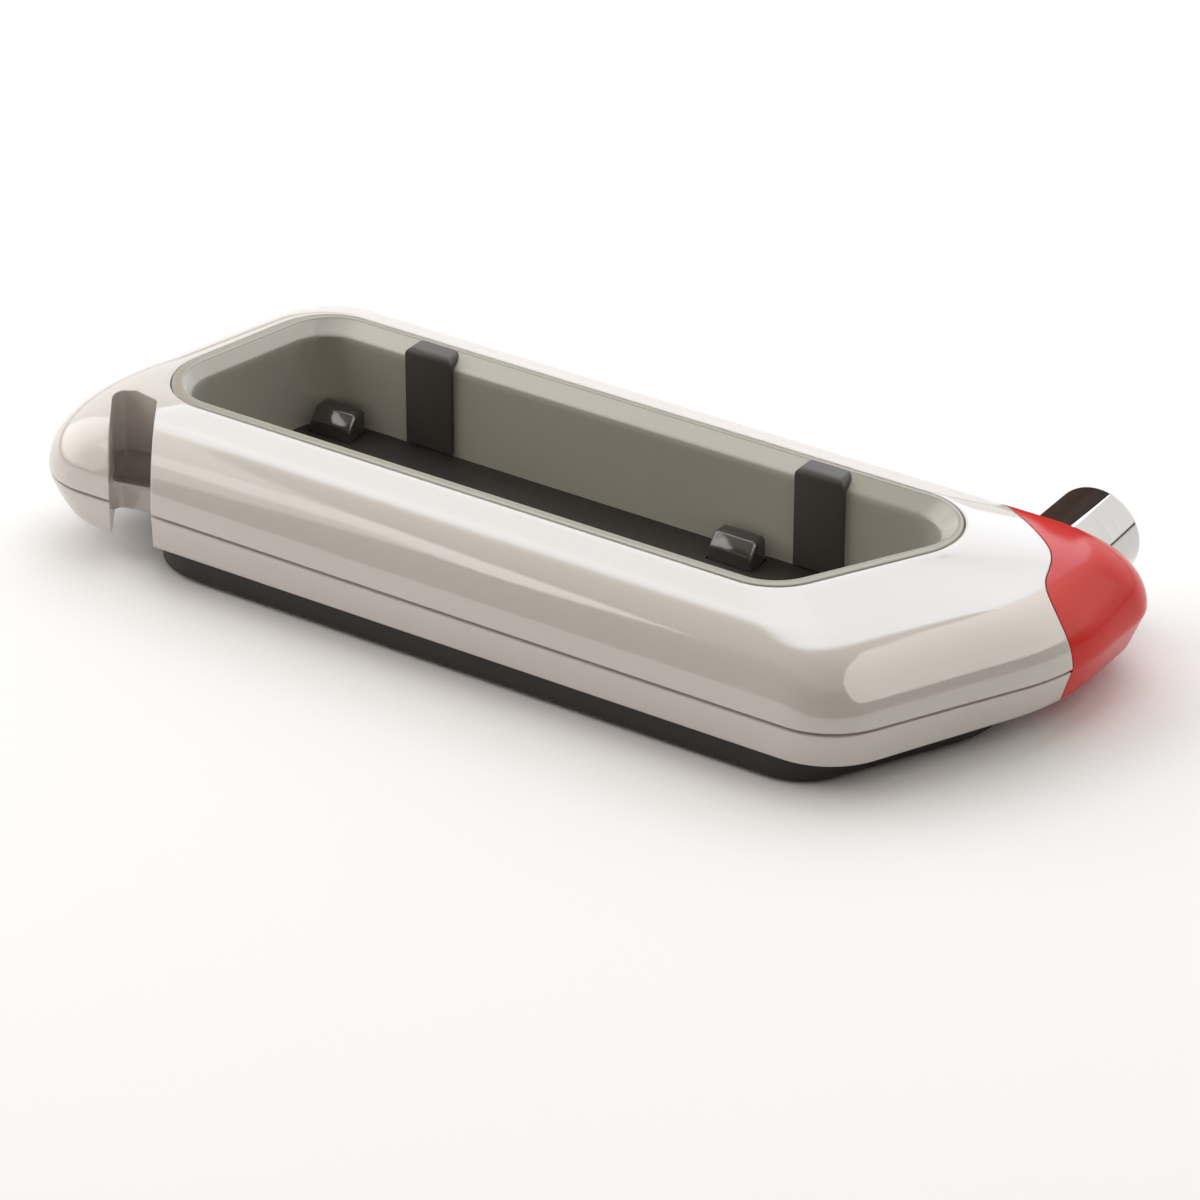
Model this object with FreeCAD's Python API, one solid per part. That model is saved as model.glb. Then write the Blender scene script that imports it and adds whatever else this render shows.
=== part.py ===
import FreeCAD, Part
import math
import os

V = FreeCAD.Vector

# Heights above the table
RIM_Z = 39.6            # top edge of the trough opening
PARTING_Z = 18.0        # joint between the two white shells
LOWER_Z = 7.5           # bottom edge of the lower shell
FOOT_H = 0.8            # the base plate stands this far off the table

# Trough rim in plan, a skewed quadrilateral with rounded corners
RIM_W = 64.0            # across the trough
RIM_LEFT = -108.65      # middle of the left end
RIM_RIGHT = 97.35       # middle of the right end
LEFT_SLANT = 0.2466     # X gained per Y along the left end
RIGHT_SLANT = 0.5817    # X gained per Y along the right end
RIM_R = 17.7            # corner radius of the rim
RIM_BEND_Y = -12.0      # foot of the nose edge on the straight right end

# Body outline at the parting joint
SHOULDER = 21.3         # rim edge to the front and back faces
LEFT_SHOULDER = 19.5    # rim edge to the left end
NOSE_X = 142.0          # right-hand end of the body
NOSE_Y = 7.5            # where the slanted end turns straight
END_SLANT = 0.559       # X gained per Y along the slanted right end
CORNER_FL = 19.0
CORNER_FR = 22.0
CORNER_NOSE = 60.0
CORNER_BR = 15.0
CORNER_BL = 22.0

# Shoulder profile: a sloping flat that runs into a round
SIDE_SLOPE = 20.0       # degrees below level beside the rim
SIDE_ROUND = 20.0
NOSE_SLOPE = 12.5
NOSE_ROUND = 17.0
NOSE_REACH = 36.0       # square distance from the rim to the nose face
LOWER_TUCK = 1.2        # the lower shell draws in by this much at its bottom
NOSE_TUCK = 4.0         # and by this much at the nose

# Shells
WALL = 2.4
SEAM = 0.5              # open joint between the upper and lower shells
LIP_H = 2.0             # locating lip on the lower shell
LIP_T = 1.1
LIP_CLEAR = 1.1         # lip to the inside of the upper shell
FLOOR_T = 2.0           # bottom of the lower shell
LEDGE_W = 1.8           # ledge that carries the liner
LEDGE_T = 2.4
GAP = 0.4               # free gap round parts that lift or turn

# Hook ball at the front left corner, cut free by an upright notch
NOTCH_LEFT = -107.0     # notch walls where they meet the front face
NOTCH_RIGHT = -92.0
NOTCH_TURN_LEFT = 34.0  # degrees, notch walls against the depth axis
NOTCH_TURN_RIGHT = 37.5
NOTCH_END_X = -116.6    # a point on the end wall of the notch
NOTCH_END_Y = -28.6
NOTCH_END_TURN = 14.0   # degrees, end wall against the long axis
NOTCH_LEAN = 7.5        # the end wall leans forward by this much beside the body
NOTCH_R = 2.4           # round in the inner corners of the notch
NOTCH_OPEN = 20.0       # the cut runs this far out past the front face
LEFT_TUCK = 5.0         # the ball draws in by this much at its bottom

# Liner, distances measured inward from the rim edge
LIP_THICK = 2.6
LIP_INNER = 4.0
FLARE_H = 5.0           # flared band under the lip
FLARE_IN = 4.6
FLOOR_IN = 5.4
FLOOR_TOP = 10.0        # top of the trough floor above the table
LINER_FLOOR = 2.0
LINER_FOOT = 3.6        # outside of the liner at its floor
MAT_T = 1.2
MAT_GAP = 0.4

# Clips on the back wall
CLIP_W = 15.5
CLIP_LEFT_X = -62.5
CLIP_RIGHT_X = 57.7
CLIP_T = 2.0
CLIP_HOOK_T = 1.0
CLIP_CORNER = 2.6
CLIP_FIT = 0.05

# Sprung catches in the trough floor
CATCH_LEFT_X = -87.8
CATCH_RIGHT_X = 36.5
CATCH_Y = 19.6
CATCH_L = 13.0
CATCH_D = 7.2
CATCH_H = 8.1           # above the liner floor
CATCH_RAMP_D = 2.8      # ramp along the front edge, in depth
CATCH_RAMP_H = 3.1      # and in height
CATCH_TRAVEL = 2.0
CATCH_FLANGE = 1.0
CATCH_FLANGE_T = 1.0
CATCH_EDGE = 0.9
CUP_T = 0.8
CUP_R = 2.0
CUP_FLOOR = 0.7
LEAF_L = 12.0           # bowed leaf spring under each catch
LEAF_W = 4.0
LEAF_T = 0.3
LEAF_PAD = 1.2
LEAF_PLAY = 0.1

# Base
BASE_EDGE_IN = 1.1      # base edge inside the lower shell edge, front and back
BASE_SIDE_IN = 7.0      # base edge inside the left end
BASE_END_IN = 8.0       # base edge inside the slanted right end
BASE_FRONT_X = -93.2    # front left corner of the base
BASE_FLARE = 0.657      # X lost per Y from that corner to the left end
BASE_NOSE_IN = 18.0     # base edge inside the straight nose
BASE_R = 18.0
BASE_BEND_R = 30.0
BASE_SIDE_R = 10.0
BASE_WALL = 2.4
BASE_FLOOR = 2.4
BASE_EDGE = 0.8
SCREW_Y = 41.0
SCREW_IN = 20.0
SCREW_R = 1.5
SCREW_HEAD_R = 2.8
SCREW_HEAD_H = 2.0
SCREW_SINK = 1.0        # screw heads lie this far inside the base
SCREW_LEN = 22.0
SCREW_PLAY = 0.2
SLOT_W = 0.8
BOSS_R = 4.2
BOSS_GROW = 1.6
BOSS_MEET = 14.0        # height where lower and upper screw bosses meet
FOOT_R = 6.0
FOOT_T = 1.6
FOOT_Y = 34.0
FOOT_IN = 9.0

# Red end cap, its border drawn with three arcs in plan
CAP_JOINT = 0.25
CAP_TIP_X = 97.6
CAP_TIP_Y = 42.6
CAP_R_MAIN = 28.0
CAP_R_END = 14.0
CAP_TURN = 78.7         # degrees turned by the main arc
CAP_TONGUE = 10.0       # tongue that reaches over the lower shell floor
CAP_TONGUE_T = 2.6
CAP_SCREW_IN = 5.0
CAP_SCREW_LEN = 4.4
CAP_SCREW_HEAD = 1.5

# Chrome knob and its pivot, along the depth axis
KNOB_X = 113.3
KNOB_Z = 20.0
KNOB_R = 12.3
KNOB_START = 47.6
KNOB_END = 68.7
KNOB_WALL = 1.2
KNOB_FACE = 1.5
KNOB_EDGE = 0.5
POCKET_WALL = 2.6
SHAFT_R = 4.0
SHAFT_CLEAR = 0.04
SHAFT_START = 27.0
SHAFT_END = 62.0
CORE_END = 64.0
BUSH_R = 6.0
BUSH_FLANGE_R = 8.0
BUSH_FLANGE_T = 1.2
BUSH_LEN = 14.0
PIVOT_BOSS_R = 9.0
WASHER_R = 7.0
RING_R = 6.5
RING_GROOVE = 0.5
RING_T = 1.0
AXIAL_GAP = 0.3

HALF_W = RIM_W / 2


def corner(points, radii, z):
    """Closed wire of straight runs and round corners through a polygon."""
    count = len(points)
    starts = []
    ends = []
    mids = []
    for i in range(count):
        p = points[i]
        a = points[i - 1]
        b = points[(i + 1) % count]
        u = V(a[0] - p[0], a[1] - p[1], 0)
        w = V(b[0] - p[0], b[1] - p[1], 0)
        u.normalize()
        w.normalize()
        turn = math.pi - u.getAngle(w)
        base = V(p[0], p[1], z)
        if turn < 0.01:
            reach = radii[i] * 0.13
            starts.append(base + u * reach)
            ends.append(base + w * reach)
            mids.append(None)
            continue
        reach = radii[i] * math.tan(turn / 2)
        starts.append(base + u * reach)
        ends.append(base + w * reach)
        inward = u + w
        inward.normalize()
        depth = radii[i] / math.cos(turn / 2) - radii[i]
        mids.append(base + inward * depth)
    edges = []
    for i in range(count):
        j = (i + 1) % count
        if mids[i] is None:
            edges.append(Part.LineSegment(starts[i], ends[i]).toShape())
        else:
            edges.append(Part.Arc(starts[i], mids[i], ends[i]).toShape())
        edges.append(Part.LineSegment(ends[i], starts[j]).toShape())
    return Part.Wire(edges)


def inset(points, amount):
    """Polygon moved inward by one amount, corners taken anticlockwise."""
    count = len(points)
    result = []
    for i in range(count):
        a = points[i - 1]
        p = points[i]
        b = points[(i + 1) % count]
        n1 = V(a[1] - p[1], p[0] - a[0], 0)
        n2 = V(p[1] - b[1], b[0] - p[0], 0)
        n1.normalize()
        n2.normalize()
        push = (n1 + n2) * (amount / (1 + n1.dot(n2)))
        result.append((p[0] + push.x, p[1] + push.y))
    return result


def prism(wire, height):
    return Part.Face(wire).extrude(V(0, 0, height))


def rod(x, y, z, radius, length, direction):
    return Part.makeCylinder(radius, length, V(x, y, z), direction)


def block(x0, x1, y0, y1, z0, z1):
    return Part.makeBox(x1 - x0, y1 - y0, z1 - z0, V(x0, y0, z0))


def mix(a, b, share):
    return a + (b - a) * share


def shoulder_reach(z, slope, radius, reach):
    """Distance out from the rim edge at one height, as a share of the whole."""
    drop = RIM_Z - z
    lift = z - PARTING_Z
    angle = math.asin(min(1.0, lift / radius))
    if angle < math.radians(90 - slope):
        return (reach - radius * (1 - math.cos(angle))) / reach
    return min(1.0, drop / math.tan(math.radians(slope)) / reach)


# Rim corners in plan, anticlockwise from the front left
RIM = [
    (RIM_LEFT - LEFT_SLANT * HALF_W, -HALF_W),
    (RIM_RIGHT - RIGHT_SLANT * HALF_W, -HALF_W),
    (RIM_RIGHT + RIGHT_SLANT * RIM_BEND_Y, RIM_BEND_Y),
    (RIM_RIGHT + RIGHT_SLANT * HALF_W, HALF_W),
    (RIM_LEFT + LEFT_SLANT * HALF_W, HALF_W),
]
RIM_RADII = [RIM_R, RIM_R, CORNER_NOSE, RIM_R, RIM_R]

FACE_Y = HALF_W + SHOULDER
LEFT_FACE = RIM_LEFT - LEFT_SHOULDER * math.hypot(1, LEFT_SLANT)
PART_OUT = [
    (LEFT_FACE - LEFT_SLANT * FACE_Y, -FACE_Y),
    (NOSE_X - END_SLANT * (NOSE_Y + FACE_Y), -FACE_Y),
    (NOSE_X, NOSE_Y),
    (NOSE_X, FACE_Y),
    (LEFT_FACE + LEFT_SLANT * FACE_Y, FACE_Y),
]
PART_RADII = [CORNER_FL, CORNER_FR, CORNER_NOSE, CORNER_BR, CORNER_BL]


def body_points(z):
    """Plan of the upper body at one height."""
    side = shoulder_reach(z, SIDE_SLOPE, SIDE_ROUND, SHOULDER)
    nose = shoulder_reach(z, NOSE_SLOPE, NOSE_ROUND, NOSE_REACH)
    shares = [(side, side), (nose, side), (nose, nose), (nose, side), (side, side)]
    points = []
    for a, b, share in zip(RIM, PART_OUT, shares):
        points.append((mix(a[0], b[0], share[0]), mix(a[1], b[1], share[1])))
    radii = [mix(a, b, side) for a, b in zip(RIM_RADII, PART_RADII)]
    return points, radii


UPPER_LEVELS = [0.0, 0.23, 0.46, 0.65, 0.79, 0.88, 0.945, 1.0]
INNER_LEVELS = [0.0, 0.12, 0.23, 0.46, 0.79, 0.945, 1.0]


def upper_skin(gap, levels, ruled):
    """Solid up to the rim whose sides follow the shoulder profile."""
    wires = []
    for share in levels:
        z = mix(PARTING_Z, RIM_Z, share)
        points, radii = body_points(z)
        if gap > 0:
            points = inset(points, gap)
            radii = [max(2.0, r - gap) for r in radii]
        wires.append(corner(points, radii, z))
    return Part.makeLoft(wires, True, ruled)


LOWER_OUT = inset(PART_OUT, LOWER_TUCK)
LOWER_OUT[0] = (LOWER_OUT[0][0] + LEFT_TUCK, LOWER_OUT[0][1])
LOWER_OUT[4] = (LOWER_OUT[4][0] + LEFT_TUCK, LOWER_OUT[4][1])
LOWER_OUT[2] = (LOWER_OUT[2][0] - NOSE_TUCK + LOWER_TUCK, LOWER_OUT[2][1])
LOWER_OUT[3] = (LOWER_OUT[3][0] - NOSE_TUCK + LOWER_TUCK, LOWER_OUT[3][1])


def lower_skin(gap, z0, z1):
    wires = []
    for z in (z0, z1):
        share = (PARTING_Z - z) / (PARTING_Z - LOWER_Z)
        points = []
        for a, b in zip(PART_OUT, LOWER_OUT):
            points.append((mix(a[0], b[0], share), mix(a[1], b[1], share)))
        radii = PART_RADII
        if gap > 0:
            points = inset(points, gap)
            radii = [max(2.0, r - gap) for r in radii]
        wires.append(corner(points, radii, z))
    return Part.makeLoft(wires, True, True)


def cap_region(gap):
    """Plan area beyond the curved border of the red cap, as a tall prism."""
    main = V(CAP_TIP_X, CAP_TIP_Y - CAP_R_MAIN, 0)
    back = V(CAP_TIP_X, CAP_TIP_Y + CAP_R_END, 0)
    sweep = math.radians(CAP_TURN)
    meet = V(math.sin(sweep), math.cos(sweep), 0)
    half = V(math.sin(sweep / 2), math.cos(sweep / 2), 0)
    side = V(math.sin(math.radians(45)), math.cos(math.radians(45)), 0)
    end = main + meet * (CAP_R_MAIN + CAP_R_END)
    r_main = CAP_R_MAIN + gap
    r_end = CAP_R_END - gap
    p0 = back - V(r_end, 0, 0)
    p1 = back - V(0, r_end, 0)
    p2 = main + meet * r_main
    p3 = end - V(0, r_end, 0)
    far = V(NOSE_X + 20, FACE_Y + 40, 0)
    edges = [
        Part.Arc(p0, back - side * r_end, p1).toShape(),
        Part.Arc(p1, main + half * r_main, p2).toShape(),
        Part.Arc(p2, end - half * r_end, p3).toShape(),
        Part.LineSegment(p3, V(far.x, p3.y, 0)).toShape(),
        Part.LineSegment(V(far.x, p3.y, 0), far).toShape(),
        Part.LineSegment(far, V(p0.x, far.y, 0)).toShape(),
        Part.LineSegment(V(p0.x, far.y, 0), p0).toShape(),
    ]
    return prism(Part.Wire(edges), RIM_Z + 10)


def notch_points(wall, reach):
    """Plan of the notch, grown outward by one wall thickness."""
    rise = math.tan(math.radians(NOTCH_END_TURN))
    far = -FACE_Y - reach

    def side(start, turn, sign):
        lean = math.tan(math.radians(turn))
        x = start + sign * wall / math.cos(math.radians(turn))
        top = NOTCH_END_Y + wall + rise * (x - FACE_Y * lean - NOTCH_END_X)
        y = top / (1 + rise * lean)
        return (x - (far + FACE_Y) * lean, far), (x - (y + FACE_Y) * lean, y)

    left_out, left_in = side(NOTCH_LEFT, NOTCH_TURN_LEFT, -1)
    right_out, right_in = side(NOTCH_RIGHT, NOTCH_TURN_RIGHT, 1)
    return [left_out, right_out, right_in, left_in]


def hook_notch():
    """Upright notch that cuts the hook ball free of the front face."""
    points = notch_points(0, NOTCH_OPEN)
    radii = [NOTCH_R, NOTCH_R, NOTCH_R, NOTCH_R]
    below = prism(corner(points, radii, 0), PARTING_Z)
    run = V(points[1][0] - points[2][0], points[1][1] - points[2][1], 0)
    run.normalize()
    lean = run * NOTCH_LEAN
    leaned = list(points)
    leaned[2] = (points[2][0] + lean.x, points[2][1] + lean.y)
    wires = [corner(points, radii, PARTING_Z), corner(leaned, radii, RIM_Z)]
    return below.fuse(Part.makeLoft(wires, True, True))


def corner_core():
    """Corner kept solid behind the notch, left out of the hollow of the shells."""
    points = notch_points(WALL, NOTCH_OPEN)
    far = LEFT_FACE - FACE_Y
    points[0] = (far, points[0][1])
    points[3] = (far, points[2][1] + WALL)
    outline = [V(x, y, 0) for x, y in points]
    return prism(Part.makePolygon(outline + [outline[0]]), RIM_Z + 10)


def part_prism(gap, z0, z1):
    radii = [r - gap for r in PART_RADII]
    return prism(corner(inset(PART_OUT, gap), radii, z0), z1 - z0)


def rim_prism(gap, z0, z1):
    radii = [max(1.0, r - gap) for r in RIM_RADII]
    return prism(corner(inset(RIM, gap), radii, z0), z1 - z0)


def rim_loft(levels):
    wires = []
    for gap, z in levels:
        radii = [max(1.0, r - gap) for r in RIM_RADII]
        wires.append(corner(inset(RIM, gap), radii, z))
    return Part.makeLoft(wires, True, True)


def screw_spots():
    """Six fixing points in the two side channels."""
    left = BASE_FRONT_X + SCREW_IN
    right = RIM_RIGHT - SCREW_IN
    spots = []
    for x in (left, (left + right) / 2, right):
        spots.append((x, -SCREW_Y))
        spots.append((x, SCREW_Y))
    return spots


def cap_screw_spots():
    reach = CAP_R_MAIN - CAP_SCREW_IN
    spots = []
    for turn in (20, 50):
        angle = math.radians(turn)
        x = CAP_TIP_X + reach * math.sin(angle)
        spots.append((x, CAP_TIP_Y - CAP_R_MAIN + reach * math.cos(angle)))
    return spots


BASE_Y = FACE_Y - LOWER_TUCK - BASE_EDGE_IN
BASE_NOSE_X = NOSE_X - BASE_NOSE_IN
END_PUSH = BASE_END_IN * math.hypot(1, END_SLANT) + LOWER_TUCK
SIDE_PUSH = (BASE_SIDE_IN + LOWER_TUCK) * math.hypot(1, LEFT_SLANT) + LEFT_TUCK
BASE_FR = NOSE_X - END_SLANT * (NOSE_Y + BASE_Y) - END_PUSH
BASE_SIDE = LEFT_FACE + SIDE_PUSH
BASE_BEND_Y = (BASE_FRONT_X - BASE_FLARE * BASE_Y - BASE_SIDE) / (LEFT_SLANT + BASE_FLARE)
BASE = [
    (BASE_SIDE + LEFT_SLANT * BASE_BEND_Y, BASE_BEND_Y),
    (BASE_FRONT_X, -BASE_Y),
    (BASE_FR, -BASE_Y),
    (BASE_NOSE_X, -BASE_Y + (BASE_NOSE_X - BASE_FR) / END_SLANT),
    (BASE_NOSE_X, BASE_Y),
    (BASE_SIDE + LEFT_SLANT * BASE_Y, BASE_Y),
]
BASE_RADII = [BASE_SIDE_R, BASE_R, BASE_R, BASE_BEND_R, BASE_R, BASE_R]


def base_prism(gap, z0, z1):
    radii = [r - gap for r in BASE_RADII]
    return prism(corner(inset(BASE, gap), radii, z0), z1 - z0)


def foot_spots():
    """Four feet near the corners of the base."""
    spots = []
    for y in (-FOOT_Y, FOOT_Y):
        right = min(BASE_NOSE_X, BASE_FR + END_SLANT * (y + BASE_Y))
        spots.append((BASE_FRONT_X + FOOT_IN, y))
        spots.append((right - FOOT_IN - FOOT_R, y))
    return spots


def screw(x, y, z, head_r, head_h, length):
    """Pan screw standing upright, head down, with a driver slot."""
    body = rod(x, y, z, head_r, head_h, UP)
    body = body.fuse(rod(x, y, z + head_h, SCREW_R, length, UP))
    slot = block(x - head_r, x + head_r, y - SLOT_W / 2, y + SLOT_W / 2, z, z + head_h / 2)
    return body.cut(slot)


UP = V(0, 0, 1)
BACK = V(0, 1, 0)
WIDE = 300

# Shared outer and inner skins
outer_upper = upper_skin(0, UPPER_LEVELS, False)
inner_upper = upper_skin(WALL, INNER_LEVELS, True)
inner_upper = inner_upper.common(inner_upper.translated(V(0, 0, -WALL)))
outer_lower = lower_skin(0, PARTING_Z, LOWER_Z)
inner_lower = lower_skin(WALL, PARTING_Z, LOWER_Z)
inner_lower = inner_lower.cut(block(-WIDE, WIDE, -WIDE, WIDE, 0, LOWER_Z + FLOOR_T))
notch = hook_notch()
core = corner_core()
cap_side = cap_region(0)

# Upper shell with the collar and ledge that carry the liner
ledge_top = RIM_Z - LIP_THICK - AXIAL_GAP
upper = outer_upper.cut(inner_upper.cut(core))
upper = upper.fuse(rim_prism(-WALL, ledge_top - LEDGE_T, RIM_Z).common(outer_upper))
for x, y in screw_spots():
    boss = rod(x, y, PARTING_Z, BOSS_R, RIM_Z, UP).common(outer_upper)
    upper = upper.fuse([boss, rod(x, y, BOSS_MEET, BOSS_R, PARTING_Z - BOSS_MEET, UP)])
upper = upper.cut(rim_prism(0, ledge_top, RIM_Z + 5))
upper = upper.cut(rim_prism(LEDGE_W, 0, RIM_Z + 5))
upper = upper.cut(notch)
upper = upper.cut(cap_side)
screw_z = FOOT_H + SCREW_SINK
for x, y in screw_spots():
    upper = upper.cut(rod(x, y, 0, SCREW_R, screw_z + SCREW_HEAD_H + SCREW_LEN + 1, UP))

# Lower shell with a locating lip and the lower screw bosses
lower = outer_lower.cut(inner_lower.cut(core))
lower = lower.cut(block(-WIDE, WIDE, -WIDE, WIDE, PARTING_Z - SEAM, RIM_Z))
lip_z = PARTING_Z - LIP_H * 2
root_top = PARTING_Z - SEAM
lip_gap = WALL + LIP_CLEAR
lip_bore = part_prism(lip_gap + LIP_T, lip_z, RIM_Z)
root = part_prism(WALL / 2, lip_z, root_top).common(outer_lower).cut(lip_bore)
lip = part_prism(lip_gap, lip_z, PARTING_Z + LIP_H).cut(lip_bore)
lower = lower.fuse([root.cut(core), lip.cut(core)])
for x, y in screw_spots():
    lower = lower.fuse(rod(x, y, LOWER_Z, BOSS_R + BOSS_GROW, BOSS_MEET - LOWER_Z, UP))
lower = lower.cut(rim_prism(LINER_FOOT - GAP * 2, 0, RIM_Z))
lower = lower.cut(notch)
lower = lower.cut(cap_side)
for x, y in screw_spots():
    lower = lower.cut(rod(x, y, 0, SCREW_R + SCREW_PLAY, RIM_Z, UP))
for x, y in cap_screw_spots():
    lower = lower.cut(rod(x, y, 0, SCREW_R + SCREW_PLAY, BOSS_MEET, UP))

# Base pan, rubber feet and the long screws
base_z = FOOT_H + BASE_FLOOR
base = base_prism(0, FOOT_H, LOWER_Z)
low_edges = [e for e in base.Edges if e.BoundBox.ZMax < FOOT_H + 0.01]
base = base.makeChamfer(BASE_EDGE, low_edges)
base = base.cut(base_prism(BASE_WALL, base_z, RIM_Z))
for x, y in screw_spots():
    base = base.fuse(rod(x, y, FOOT_H, BOSS_R + BOSS_GROW, LOWER_Z - FOOT_H, UP))
feet = []
screws = []
for x, y in screw_spots():
    base = base.cut(rod(x, y, 0, SCREW_HEAD_R + SCREW_PLAY, screw_z + SCREW_HEAD_H, UP))
    base = base.cut(rod(x, y, 0, SCREW_R + SCREW_PLAY, RIM_Z, UP))
    screws.append(screw(x, y, screw_z, SCREW_HEAD_R, SCREW_HEAD_H, SCREW_LEN))
for x, y in foot_spots():
    base = base.cut(rod(x, y, 0, FOOT_R + SCREW_PLAY, FOOT_T, UP))
    foot = rod(x, y, 0, FOOT_R, FOOT_T, UP)
    rims = [e for e in foot.Edges if e.BoundBox.ZMax < 0.01]
    feet.append(foot.makeChamfer(FOOT_H / 2, rims))

# Red end cap with the pocket and boss for the pivot
outer_all = outer_upper.fuse(outer_lower)
inner_all = inner_upper.fuse(inner_lower)
pocket_y = KNOB_START - GAP
cap = outer_all.common(cap_region(CAP_JOINT)).cut(inner_all)
backing = rod(KNOB_X, pocket_y - POCKET_WALL, KNOB_Z, KNOB_R + POCKET_WALL, POCKET_WALL * 2, BACK)
boss_y = pocket_y - BUSH_LEN
pivot_boss = rod(KNOB_X, boss_y, KNOB_Z, PIVOT_BOSS_R, BUSH_LEN, BACK)
tongue = lower_skin(WALL + GAP, PARTING_Z, LOWER_Z).common(cap_region(-CAP_TONGUE))
tongue_z = LOWER_Z + FLOOR_T
tongue = tongue.common(block(-WIDE, WIDE, -WIDE, WIDE, tongue_z, tongue_z + CAP_TONGUE_T))
tongue = tongue.common(block(CAP_TIP_X, WIDE, CAP_TIP_Y - CAP_R_MAIN, WIDE, 0, WIDE))
tongue = tongue.cut(rim_prism(-WALL, 0, RIM_Z))
cap = cap.fuse([backing.common(outer_all).common(cap_region(CAP_JOINT)), pivot_boss, tongue])
cap = cap.cut(rod(KNOB_X, pocket_y, KNOB_Z, KNOB_R + GAP, KNOB_END, BACK))
cap = cap.cut(rod(KNOB_X, 0, KNOB_Z, BUSH_R, KNOB_END, BACK))
cap_screws = []
for x, y in cap_screw_spots():
    cap = cap.cut(rod(x, y, tongue_z - 1, SCREW_R, CAP_TONGUE_T + 2, UP))
    cap_screws.append(screw(x, y, LOWER_Z - CAP_SCREW_HEAD, SCREW_HEAD_R, CAP_SCREW_HEAD, CAP_SCREW_LEN))

# Pivot: bush in the cap, then shaft, washer, ring and chrome knob
bush = rod(KNOB_X, boss_y, KNOB_Z, BUSH_R, BUSH_LEN, BACK)
bush = bush.fuse(rod(KNOB_X, pocket_y, KNOB_Z, BUSH_FLANGE_R, BUSH_FLANGE_T, BACK))
bush = bush.cut(rod(KNOB_X, 0, KNOB_Z, SHAFT_R + SHAFT_CLEAR, KNOB_END, BACK))
washer_y = boss_y - AXIAL_GAP - RING_T
washer = rod(KNOB_X, washer_y, KNOB_Z, WASHER_R, RING_T, BACK)
washer = washer.cut(rod(KNOB_X, 0, KNOB_Z, SHAFT_R, KNOB_END, BACK))
ring_y = washer_y - RING_T
groove_r = SHAFT_R - RING_GROOVE
ring = rod(KNOB_X, ring_y, KNOB_Z, RING_R, RING_T, BACK)
ring = ring.cut(rod(KNOB_X, 0, KNOB_Z, groove_r, KNOB_END, BACK))
mouth = block(KNOB_X - groove_r, KNOB_X + groove_r, 0, KNOB_END, 0, KNOB_Z - SHAFT_R)
ring = ring.cut(mouth)
shaft = rod(KNOB_X, SHAFT_START, KNOB_Z, SHAFT_R, SHAFT_END - SHAFT_START, BACK)
groove = rod(KNOB_X, ring_y, KNOB_Z, WASHER_R, RING_T, BACK)
shaft = shaft.cut(groove.cut(rod(KNOB_X, 0, KNOB_Z, groove_r, KNOB_END, BACK)))
core_y = pocket_y + BUSH_FLANGE_T + AXIAL_GAP
bore_r = KNOB_R - KNOB_WALL
knob_core = rod(KNOB_X, core_y, KNOB_Z, bore_r, CORE_END - core_y, BACK)
knob_core = knob_core.cut(rod(KNOB_X, 0, KNOB_Z, SHAFT_R, SHAFT_END, BACK))
sleeve = rod(KNOB_X, KNOB_START, KNOB_Z, KNOB_R, KNOB_END - KNOB_START, BACK)
end_edges = [e for e in sleeve.Edges if e.BoundBox.YMin > KNOB_END - 0.01]
sleeve = sleeve.makeChamfer(KNOB_EDGE, end_edges)
sleeve = sleeve.cut(rod(KNOB_X, 0, KNOB_Z, bore_r, KNOB_END - KNOB_FACE, BACK))

# Liner: lip, tapered tub and flared inner band
flange_z = RIM_Z - LIP_THICK
floor_z = FLOOR_TOP - LINER_FLOOR
liner = rim_loft([(LINER_FOOT, floor_z), (LEDGE_W + GAP, flange_z)])
liner = liner.fuse(rim_prism(GAP, flange_z, RIM_Z))
liner = liner.cut(rim_loft([(FLOOR_IN, FLOOR_TOP), (FLARE_IN, RIM_Z - FLARE_H), (LIP_INNER, RIM_Z)]))
mat = rim_prism(FLOOR_IN + MAT_GAP, FLOOR_TOP, FLOOR_TOP + MAT_T)


def clip(x):
    """Strip on the back wall that hooks over the liner lip."""
    foot = FLOOR_TOP + MAT_T + MAT_GAP
    hook_z = RIM_Z - CLIP_HOOK_T
    bend_z = RIM_Z - FLARE_H
    low_y = HALF_W - FLOOR_IN - CLIP_FIT
    bend_y = HALF_W - FLARE_IN - CLIP_FIT
    hook_y = HALF_W - mix(LIP_INNER, FLARE_IN, CLIP_HOOK_T / FLARE_H) - CLIP_FIT
    back_y = HALF_W - GAP - CLIP_HOOK_T / 2
    x0 = x - CLIP_W / 2
    outline = [
        V(x0, low_y - CLIP_T, foot),
        V(x0, low_y, foot),
        V(x0, bend_y, bend_z),
        V(x0, hook_y, hook_z + CLIP_FIT),
        V(x0, back_y, hook_z + CLIP_FIT),
        V(x0, back_y, RIM_Z),
        V(x0, hook_y - CLIP_T, RIM_Z),
    ]
    strip = Part.Face(Part.makePolygon(outline + [outline[0]])).extrude(V(CLIP_W, 0, 0))
    front = [(x0, 0), (x0 + CLIP_W, 0), (x0 + CLIP_W, RIM_Z), (x0, RIM_Z)]
    shield = corner(front, [CLIP_CORNER] * 4, 0)
    shield.rotate(V(0, 0, 0), V(1, 0, 0), 90)
    return strip.common(Part.Face(shield).extrude(V(0, HALF_W * 2, 0)))


def clip_pocket(x):
    """Recess in the lip that lets the clip hook lie flush."""
    half = CLIP_W / 2 + GAP / 2
    y0 = HALF_W - LIP_INNER - CLIP_T
    back_y = HALF_W - GAP / 2 - CLIP_HOOK_T / 2
    return block(x - half, x + half, y0, back_y, RIM_Z - CLIP_HOOK_T, RIM_Z + CLIP_HOOK_T)


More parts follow.
